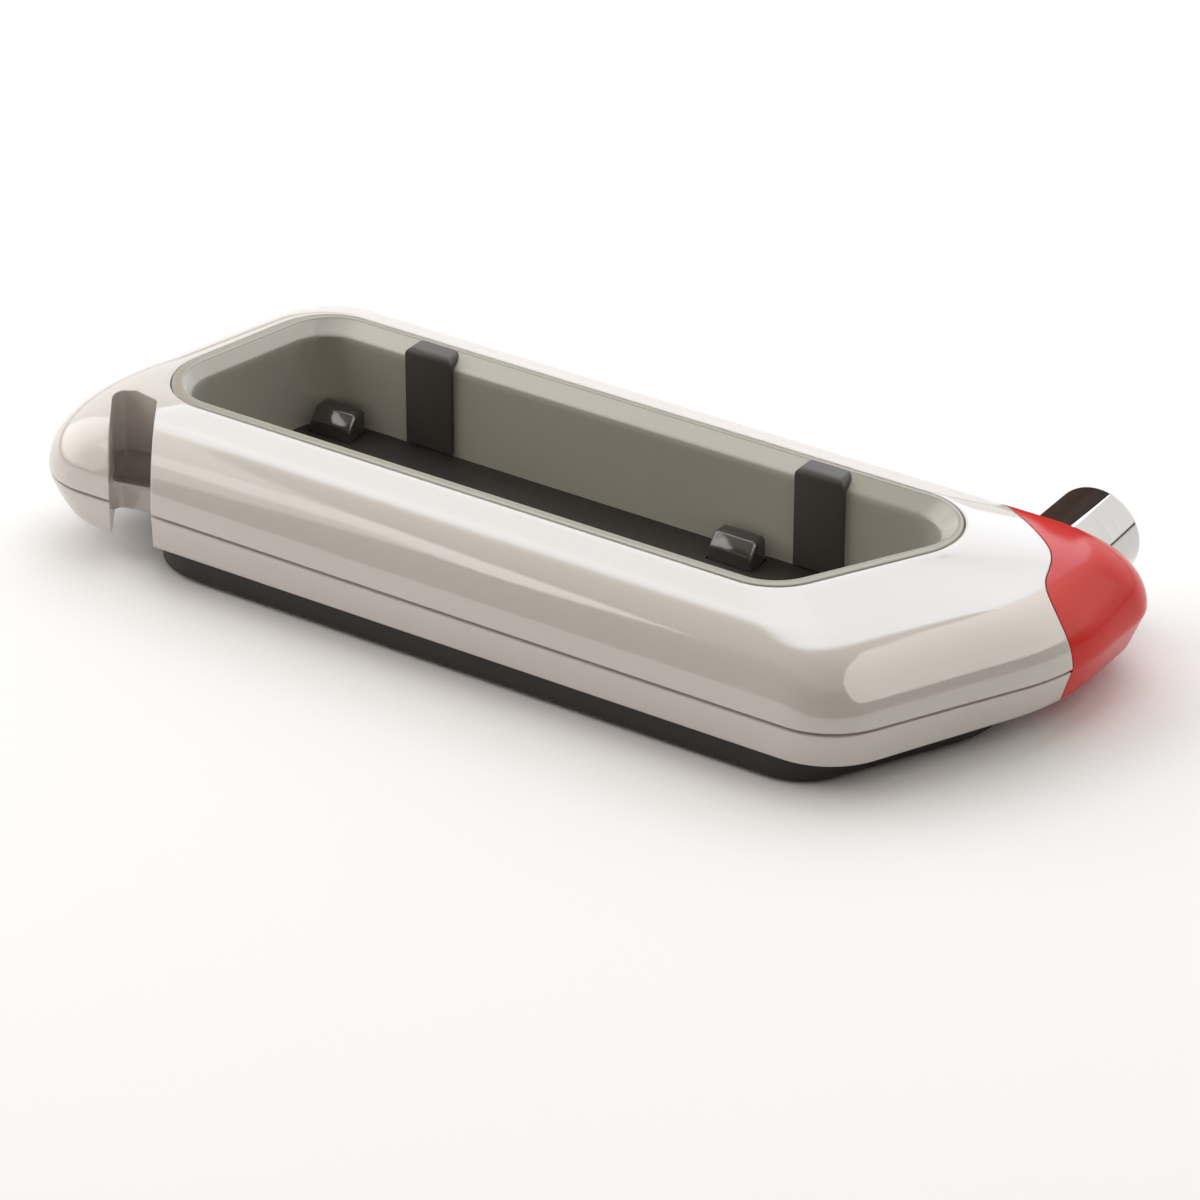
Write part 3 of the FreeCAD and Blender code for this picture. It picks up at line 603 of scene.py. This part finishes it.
def polished(name, node, width):
    """Copy of a CAD node with its flat faces cleaned up and its edges rounded."""
    obj = bpy.data.objects.new(name, nodes[node].data.copy())
    bpy.context.scene.collection.objects.link(obj)
    bm = bmesh.new()
    bm.from_mesh(obj.data)
    bmesh.ops.remove_doubles(bm, verts=bm.verts, dist=WELD)
    bmesh.ops.dissolve_limit(bm, angle_limit=math.radians(FLAT_WITHIN), verts=bm.verts, edges=bm.edges)
    bm.to_mesh(obj.data)
    bm.free()
    round_edges(obj, width)
    return obj


# Clips: strips that lean on the back wall, fill the round under the lip and end flush with it
CLIP_HALF = 7.2
CLIP_FOOT = 11.6
CLIP_FRONT = 24.6
CLIP_BEND = 1.7
CLIP_CORNER = 2.3
CLIP_GAP = 0.05
CLIP_EDGE = 0.25
CLIP_STEPS = 8
CORNER_STEPS = 10
CATCH_EDGE = 0.45
BASE_EDGE = 0.3


def clip_strip(name, x):
    """Strip drawn from the side, then trimmed to a shield with round corners."""
    side = [(CLIP_FRONT, CLIP_FOOT)]
    for k in range(CLIP_STEPS + 1):
        a = math.radians(90 * k / CLIP_STEPS)
        side.append((CLIP_FRONT + CLIP_BEND * (1 - math.cos(a)), RIM_Z - CLIP_BEND * (1 - math.sin(a))))
    side += [(RIM_HALF - back - CLIP_GAP, z) for left, back, others, z in INSIDE if z > CLIP_FOOT]
    foot_back = next(back for left, back, others, z in INSIDE if z < CLIP_FOOT)
    side.append((RIM_HALF - foot_back - CLIP_GAP, CLIP_FOOT))
    strip = loft(name, [[(x + dx, y, z) for y, z in side] for dx in (CLIP_HALF, -CLIP_HALF)])
    left, right = x - CLIP_HALF, x + CLIP_HALF
    front = [(left, -RIM_Z), (right, -RIM_Z), (right, RIM_Z), (left, RIM_Z)]
    shield = round_loop(front, CLIP_CORNER, CORNER_STEPS)
    carve(strip, "INTERSECT", loft("tool", [[(px, y, pz) for px, pz in shield] for y in (RIM_HALF, 0.0)]))
    round_edges(strip, CLIP_EDGE)
    return strip


clips = {n: clip_strip(n + "_strip", x) for n, x in CLIP_X.items()}
catches = {n: polished(n + "_block", n, CATCH_EDGE) for n in CATCH_X}
base = polished("base_body", "base_pan", BASE_EDGE)

# Degrees above which an edge stays sharp
for obj, angle in ((upper, 30), (lower, 30), (cap, 30), (liner, 34), (mat_piece, 40), (sleeve, 34)):
    smooth(obj, angle)


class Graph:
    """Small helper to wire the nodes of one tree."""

    def __init__(self, tree):
        self.tree = tree

    def feed(self, socket, value):
        """Links a socket, or sets a plain value."""
        if isinstance(value, bpy.types.NodeSocket):
            self.tree.links.new(value, socket)
        else:
            socket.default_value = value

    def add(self, kind, inputs=None, **settings):
        node = self.tree.nodes.new(kind)
        for key, value in settings.items():
            setattr(node, key, value)
        for key, value in (inputs or {}).items():
            self.feed(node.inputs[key], value)
        return node

    def product(self, a, b):
        return self.add("ShaderNodeMath", {0: a, 1: b}, operation="MULTIPLY").outputs["Value"]

    def span(self, value, low, high, start=0.0, end=1.0):
        """Value from start to end, carried over to low to high."""
        limits = {"From Min": start, "From Max": end, "To Min": low, "To Max": high}
        return self.add("ShaderNodeMapRange", {"Value": value, **limits}).outputs["Result"]

    def ramp(self, value, start, end):
        """Soft step from zero at start to one at end."""
        if start == end:
            return 1.0
        node = self.add("ShaderNodeMapRange", {"Value": value, "From Min": start, "From Max": end},
                        interpolation_type="SMOOTHSTEP")
        return node.outputs["Result"]

    def blend(self, share, a, b):
        """Colour between a and b."""
        node = self.add("ShaderNodeMix", {0: share, 6: a, 7: b}, data_type="RGBA")
        return node.outputs[2]


# Rounded edges: samples, and the cosines between which an edge counts as worn
EDGE_SAMPLES = 6
EDGE_WORN = (0.75, 0.995)
# The part of a noise that is used
MID = (0.3, 0.7)


class Finish(Graph):
    """Material with its shader and the object coordinates."""

    def __init__(self, name):
        self.material = bpy.data.materials.new(name)
        self.material.use_nodes = True
        super().__init__(self.material.node_tree)
        self.shader = self.tree.nodes["Principled BSDF"]
        self.coords = self.add("ShaderNodeTexCoord").outputs["Object"]

    def put(self, socket, value):
        self.feed(self.shader.inputs[socket], value)

    def noise(self, scale, detail=3.0, rough=0.55, coords=None):
        spot = self.coords if coords is None else coords
        node = self.add("ShaderNodeTexNoise", {"Vector": spot, "Scale": scale,
                                               "Detail": detail, "Roughness": rough})
        return node.outputs["Fac"]

    def edge(self, radius):
        """Rounded-edge normal, and a mask that is one along sharp edges."""
        bevel = self.add("ShaderNodeBevel", {"Radius": radius * MM}, samples=EDGE_SAMPLES).outputs["Normal"]
        normal = self.add("ShaderNodeNewGeometry").outputs["Normal"]
        dot = self.add("ShaderNodeVectorMath", {0: bevel, 1: normal}, operation="DOT_PRODUCT")
        return bevel, self.span(dot.outputs["Value"], 1.0, 0.0, *EDGE_WORN)

    def bump(self, height, depth, strength, normal):
        node = self.add("ShaderNodeBump", {"Height": height, "Distance": depth * MM,
                                           "Strength": strength, "Normal": normal})
        return node.outputs["Normal"]


def colour(r, g, b):
    return (r, g, b, 1.0)


# Painted light and shade up the liner: heights in metres where each begins and is full, its right end, and
# its colour.
# A pale band painted on the chamfer stands for the light it catches and fades out behind the right clip,
# where the wall is in shade; the darker tone on the lip is painted shade on its top and runs all round.
LIP_LIGHT_AND_SHADE = [(0.0358, 0.0364, 0.05, (0.67, 0.66, 0.62)), (0.0393, 0.03955, 1.0, (0.335, 0.31, 0.25))]
LIGHT_BAND_FADE = 0.01
# Noise scales, the strength of the relief, and how much of an edge is worn where the patches lie
FLOW_SCALE = 26.0
PATCH_SCALE = 160.0
GLOSS_SCALE = 70.0
LINE_SCALE = 60.0
GRAIN_STRENGTH = 0.35
WORN_SHARE = (0.15, 0.8)
WORN_PATCH = (0.35, 0.65)
LINE_DEPTH = 0.004
LINE_STRENGTH = 0.25
LINE_SHADE = 0.93


def plastic(name, base, tint, worn, rough, spread, grain, grain_depth, edge, specular=0.5, painted_bands=()):
    """Moulded plastic: faint flow marks, uneven gloss, fine grain, worn edges and bands of painted light and
    shade.
    """
    g = Finish(name)
    normal, mask = g.edge(edge)
    flow = g.noise(FLOW_SCALE, detail=4.0, rough=0.5)
    tone = g.blend(g.span(flow, 0.0, 1.0, *MID), colour(*base), colour(*tint))
    spot = g.add("ShaderNodeSeparateXYZ", {"Vector": g.coords}).outputs
    # Each band paints light or shade onto the surface, faded out past its right end
    for start, end, right, shade in painted_bands:
        share = g.product(g.ramp(spot["Z"], start, end), g.ramp(spot["X"], right + LIGHT_BAND_FADE, right))
        tone = g.blend(share, tone, colour(*shade))
    patch = g.noise(PATCH_SCALE, detail=2.0)
    wear = g.product(mask, g.span(patch, *WORN_SHARE, *WORN_PATCH))
    g.put("Base Color", g.blend(wear, tone, colour(*worn)))
    gloss = g.noise(GLOSS_SCALE, detail=5.0, rough=0.6)
    g.put("Roughness", g.span(gloss, rough - spread, rough + spread, *MID))
    fine = g.noise(grain, detail=2.0)
    g.put("Normal", g.bump(fine, grain_depth, GRAIN_STRENGTH, normal))
    g.put("Specular IOR Level", specular)
    return g.material


def metal(name, base, rough, spread, stretch, edge):
    """Plated or drawn metal with fine lines and uneven gloss."""
    g = Finish(name)
    normal = g.edge(edge)[0]
    mapping = g.add("ShaderNodeMapping", {"Vector": g.coords, "Scale": stretch}).outputs["Vector"]
    lines = g.noise(LINE_SCALE, detail=4.0, rough=0.5, coords=mapping)
    shade = colour(*[c * LINE_SHADE for c in base])
    g.put("Base Color", g.blend(g.span(lines, 0.0, 1.0, *MID), colour(*base), shade))
    g.put("Metallic", 1.0)
    g.put("Roughness", g.span(lines, rough - spread, rough + spread, *MID))
    g.put("Normal", g.bump(lines, LINE_DEPTH, LINE_STRENGTH, normal))
    return g.material


# Plastics: colour, second colour, worn colour, roughness and its spread, grain scale and depth, edge radius.
# Metals: colour, roughness and its spread, stretch of the lines, edge radius.
materials = {
    "white_plastic": plastic("white_plastic", (0.645, 0.607, 0.572), (0.635, 0.597, 0.56),
                             (0.705, 0.67, 0.637), 0.07, 0.015, 900.0, 0.003, 0.6, specular=1.0),
    "red_plastic": plastic("red_plastic", (0.66, 0.030, 0.022), (0.62, 0.027, 0.02), (0.70, 0.07, 0.06),
                           0.2, 0.03, 1200.0, 0.006, 0.4, specular=0.22),
    "charcoal_plastic": plastic("charcoal_plastic", (0.040, 0.035, 0.032), (0.035, 0.031, 0.028),
                                (0.07, 0.064, 0.06), 0.45, 0.05, 1500.0, 0.012, 0.35, specular=0.25),
    # A lighter copy of the charcoal for the clips: painted light, making up for the shade they stand in
    # inside the trough
    "lit_clip_plastic": plastic("lit_clip_plastic", (0.085, 0.077, 0.07), (0.08, 0.072, 0.066), (0.11, 0.1, 0.093),
                            0.45, 0.05, 1500.0, 0.012, 0.35, specular=0.25),
    # The liner takes a band of painted light on its chamfer and painted shade on its lip
    "grey_liner": plastic("grey_liner", (0.51, 0.5, 0.445), (0.49, 0.48, 0.427), (0.53, 0.52, 0.47),
                          0.12, 0.02, 1300.0, 0.004, 0.5, specular=0.35, painted_bands=LIP_LIGHT_AND_SHADE),
    "gloss_black": plastic("gloss_black", (0.06, 0.057, 0.053), (0.054, 0.051, 0.048), (0.17, 0.165, 0.16),
                           0.1, 0.02, 700.0, 0.003, 0.5, specular=1.0),
    "rubber": plastic("rubber", (0.022, 0.022, 0.022), (0.018, 0.018, 0.018), (0.05, 0.05, 0.05),
                      0.7, 0.06, 1800.0, 0.02, 0.3),
    "chrome": metal("chrome", (0.58, 0.57, 0.55), 0.045, 0.012, (1.0, 14.0, 1.0), 0.3),
    "steel": metal("steel", (0.56, 0.55, 0.54), 0.3, 0.06, (1.0, 1.0, 9.0), 0.2),
    "brass": metal("brass", (0.68, 0.49, 0.2), 0.26, 0.05, (9.0, 1.0, 1.0), 0.2),
}
NODE_SLOTS = {
    "upper_housing": "white_plastic", "lower_housing": "white_plastic", "base_pan": "charcoal_plastic",
    "rubber_feet": "rubber", "housing_screws": "steel", "end_cap": "red_plastic", "end_cap_screws": "steel",
    "pivot_bush": "brass", "thrust_washer": "steel", "retaining_ring": "steel", "pivot_shaft": "steel",
    "knob_core": "charcoal_plastic", "knob_sleeve": "chrome", "tray_liner": "grey_liner",
    "floor_mat": "charcoal_plastic", "clip_left": "charcoal_plastic", "clip_right": "charcoal_plastic",
    "catch_left": "gloss_black", "catch_right": "gloss_black",
    "catch_spring_left": "steel", "catch_spring_right": "steel",
    "catch_cup_left": "charcoal_plastic", "catch_cup_right": "charcoal_plastic",
}


def paint(obj, slot):
    obj.data.materials.clear()
    obj.data.materials.append(materials[slot])


def dress(obj, body, node):
    """A piece rides its body, stands for one CAD node and takes that node's finish."""
    paint(obj, NODE_SLOTS[node])
    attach(obj, body)
    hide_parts(node)


for name, slot in NODE_SLOTS.items():
    paint(nodes[name], slot)
dress(upper, "housing", "upper_housing")
dress(lower, "housing", "lower_housing")
dress(cap, "housing", "end_cap")
dress(base, "housing", "base_pan")
dress(sleeve, "pivot", "knob_sleeve")
dress(liner, "tray", "tray_liner")
dress(mat_piece, "tray", "floor_mat")
for name, obj in clips.items():
    dress(obj, "tray", name)
    # The clips take the lighter copy of the charcoal, painted light against the shade in the trough
    paint(obj, "lit_clip_plastic")
for name, obj in catches.items():
    dress(obj, name, name)

# Leaf springs, each a copy of its CAD node that rides the tray
for side in ("left", "right"):
    node = "catch_spring_" + side
    low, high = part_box(node)
    leaf = bpy.data.objects.new(node + "_leaf", nodes[node].data.copy())
    bpy.context.scene.collection.objects.link(leaf)
    dress(leaf, "tray", node)
    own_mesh(leaf)

# Pale floor
FLOOR_FAR = 6.0
FLOOR_TONES = [(0.955, 0.965, 0.98), (0.945, 0.955, 0.97)]
FLOOR_ROUGH = (0.6, 0.7)
CLOUD_SCALE = 3.0
DULL_SCALE = 40.0
corners = [(x * FLOOR_FAR, y * FLOOR_FAR, 0) for x, y in ((-1, -1), (1, -1), (1, 1), (-1, 1))]
floor_mesh = bpy.data.meshes.new("floor")
floor_mesh.from_pydata(corners, [], [(0, 1, 2, 3)])
floor = bpy.data.objects.new("floor", floor_mesh)
bpy.context.scene.collection.objects.link(floor)
g = Finish("floor")
cloud = g.span(g.noise(CLOUD_SCALE), 0.0, 1.0, *MID)
g.put("Base Color", g.blend(cloud, *[colour(*tone) for tone in FLOOR_TONES]))
g.put("Roughness", g.span(g.noise(DULL_SCALE), *FLOOR_ROUGH))
g.put("Specular IOR Level", 0.0)
floor.data.materials.append(g.material)

# Light: a room that is pale at the back, dimmer above and dark in front, soft boxes, panels and a card
ROOM_FRONT = (0.06, 0.03, 0.02)
HORIZON = (0.05, 0.04, 0.036)
ROOM_BACK = (1.21, 1.2, 1.2)
ROOM_ABOVE = (0.54, 0.5, 0.43)
HORIZON_EDGE = (0.02, 0.06)
FRONT_EDGE = (-0.35, 0.35)
ABOVE_EDGE = (0.66, 0.74)
CEILING_GLOW = (1.62, 1.69, 1.79)
RIGHT_GLOW = (0.31, 0.31, 0.28)
LEFT_GLOW = (1.5, 1.4, 1.32)
CEILING_SHINE = (2.75, 3.05, 3.4)
END_SHINE = (2.62, 2.43, 2.28)
LEFT_SHINE = (3.0, 2.9, 2.8)
BACK_SHINE = (2.9, 3.15, 3.5)
TOWARD_CAMERA = (0.549, -0.836, 0.0)
UP = (0, 0, 1)
DOWN = (0, 0, -1)

world = bpy.data.worlds.new("studio")
bpy.context.scene.world = world
world.use_nodes = True
sky = Graph(world.node_tree)
sky.tree.nodes.clear()
direction = sky.add("ShaderNodeTexCoord").outputs["Generated"]


def share_along(axis, start, end):
    """Soft step along an axis of the sky."""
    dot = sky.add("ShaderNodeVectorMath", {0: direction, 1: axis}, operation="DOT_PRODUCT").outputs["Value"]
    return sky.ramp(dot, start, end)


back = sky.blend(share_along(UP, *HORIZON_EDGE), colour(*HORIZON), colour(*ROOM_BACK))
level = sky.blend(share_along(TOWARD_CAMERA, *FRONT_EDGE), back, colour(*ROOM_FRONT))
room_colour = sky.blend(share_along(UP, *ABOVE_EDGE), level, colour(*ROOM_ABOVE))
room = sky.add("ShaderNodeBackground", {"Color": room_colour, "Strength": 1.0})
sky.add("ShaderNodeOutputWorld", {"Surface": room.outputs[0]})


def soft_box(name, spot, facing, wide, tall, tint, diffuse=True, glossy=True, fade=(0.0, 0.0)):
    """Rectangular panel of even glow; fade softens a share of its right and front edges."""
    peak = max(tint)
    light = bpy.data.lights.new(name, "AREA")
    light.shape = "RECTANGLE"
    light.size = wide
    light.size_y = tall
    light.energy = peak * math.pi * wide * tall
    light.color = [c / peak for c in tint]
    if max(fade):
        light.use_nodes = True
        lamp = Graph(light.node_tree)
        across = lamp.add("ShaderNodeNewGeometry").outputs["Parametric"]
        split = lamp.add("ShaderNodeSeparateXYZ", {"Vector": across}).outputs
        both = lamp.product(lamp.ramp(split["X"], 1.0, 1.0 - fade[0]), lamp.ramp(split["Y"], 0.0, fade[1]))
        lamp.feed(lamp.tree.nodes["Emission"].inputs["Strength"], both)
    obj = bpy.data.objects.new(name, light)
    obj.location = spot
    obj.rotation_euler = Vector(facing).to_track_quat("-Z", "Y").to_euler()
    obj.visible_camera = False
    obj.visible_diffuse = diffuse
    obj.visible_glossy = glossy
    bpy.context.scene.collection.objects.link(obj)


RIGHT_SPOT = (0.685, 0.14, 0.665)
soft_box("ceiling_glow", spot=(-0.31, 0.5, 1.0), facing=DOWN, wide=1.28, tall=1.3, tint=CEILING_GLOW,
         glossy=False, fade=(0.0, 0.36))
soft_box("ceiling_shine", spot=(-0.445, 0.5, 1.01), facing=DOWN, wide=1.01, tall=1.3, tint=CEILING_SHINE,
         diffuse=False, fade=(0.22, 0.36))
soft_box("right_glow", spot=RIGHT_SPOT, facing=(-0.785, 0, -0.62), wide=1.12, tall=0.854, tint=RIGHT_GLOW,
         glossy=False)
soft_box("left_box", spot=(-0.9, -0.5, 0.7), facing=(1, 0, 0), wide=1.4, tall=1.2, tint=LEFT_GLOW)


def mirror_panel(name, corners, inputs):
    """Flat panel that shows only in reflections."""
    mesh = bpy.data.meshes.new(name)
    mesh.from_pydata(corners, [], [tuple(range(len(corners)))])
    panel = bpy.data.objects.new(name, mesh)
    bpy.context.scene.collection.objects.link(panel)
    g = Finish(name)
    for socket, value in inputs.items():
        g.put(socket, value)
    mesh.materials.append(g.material)
    panel.visible_camera = False
    panel.visible_diffuse = False
    panel.visible_transmission = False
    panel.visible_shadow = False
    return g


def bright_panel(name, corners, tint):
    """Panel that glows in one even tint."""
    mirror_panel(name, corners, {"Base Color": colour(0, 0, 0), "Specular IOR Level": 0.0,
                                 "Emission Color": colour(*tint), "Emission Strength": 1.0})


# Round-ended panel that the nose mirrors, a far one behind the ceiling and one at the left for the slopes
END_PANEL = [
    (-0.5, -0.4), (-0.21, -0.5), (0.3, -0.48), (0.75, -0.46), (0.8, 0.15), (1.25, 0.6),
    (1.5, 1.0), (1.0, 1.1), (0.54, 0.83), (0.4, 0.7), (0.21, 0.57), (0.03, 0.5),
    (-0.2, 0.4), (-0.47, 0.19), (-0.59, -0.08), (-0.58, -0.28),
]
END_RISE = Vector((-0.62, 0.0, 0.785))
BACK_PANEL = [(-0.62, 0.9), (-0.25, 0.6), (0.04, 0.72), (0.06, 0.95), (0.04, 1.3), (-0.6, 3.0), (-1.35, 3.0)]
BACK_PANEL_Z = 1.0
LEFT_PANEL = [
    (-0.72, 0.75), (-0.72, 1.3), (-1.0, 1.38), (-1.28, 1.42), (-1.28, 1.05), (-1.02, 1.1), (-0.98, 0.75),
]
LEFT_PANEL_X = -0.89
end_corners = [Vector(RIGHT_SPOT) + Vector((0, x, 0)) + END_RISE * y for x, y in END_PANEL]
bright_panel("end_panel", end_corners, END_SHINE)
bright_panel("back_panel", [(x, y, BACK_PANEL_Z) for x, y in BACK_PANEL], BACK_SHINE)
bright_panel("left_panel", [(LEFT_PANEL_X, y, z) for y, z in LEFT_PANEL], LEFT_SHINE)

# Dark card just behind the knob
CARD_Y = 74.0
CARD = [(85.0, 12.0), (116.2, 12.0), (116.4, 31.9), (112.2, 54.0), (104.0, 54.0), (96.0, 47.0), (85.0, 40.0)]
CARD_TONES = [(0.105, 0.083, 0.071), (0.125, 0.1, 0.086)]
CARD_ROUGH = 0.9
dark = mirror_panel("dark_card", [place(x, CARD_Y, z) for x, z in CARD], {"Roughness": CARD_ROUGH})
dark.put("Base Color", dark.blend(dark.noise(DULL_SCALE), *[colour(*tone) for tone in CARD_TONES]))

# Camera at the photograph's place, in millimetres like the body
CAMERA_SPOT = (673.8, -1014.3, 700.1)
CAMERA_AIM = (-0.4752, 0.7240, -0.5)
SENSOR = 36.0
LENS = 165.135
camera = bpy.data.cameras.new("camera")
camera.sensor_width = SENSOR
camera.lens = LENS
view = bpy.data.objects.new("camera", camera)
view.location = place(*CAMERA_SPOT)
view.rotation_euler = Vector(CAMERA_AIM).to_track_quat("-Z", "Y").to_euler()
bpy.context.scene.collection.objects.link(view)
bpy.context.scene.camera = view
bpy.context.scene.view_settings.view_transform = "Standard"
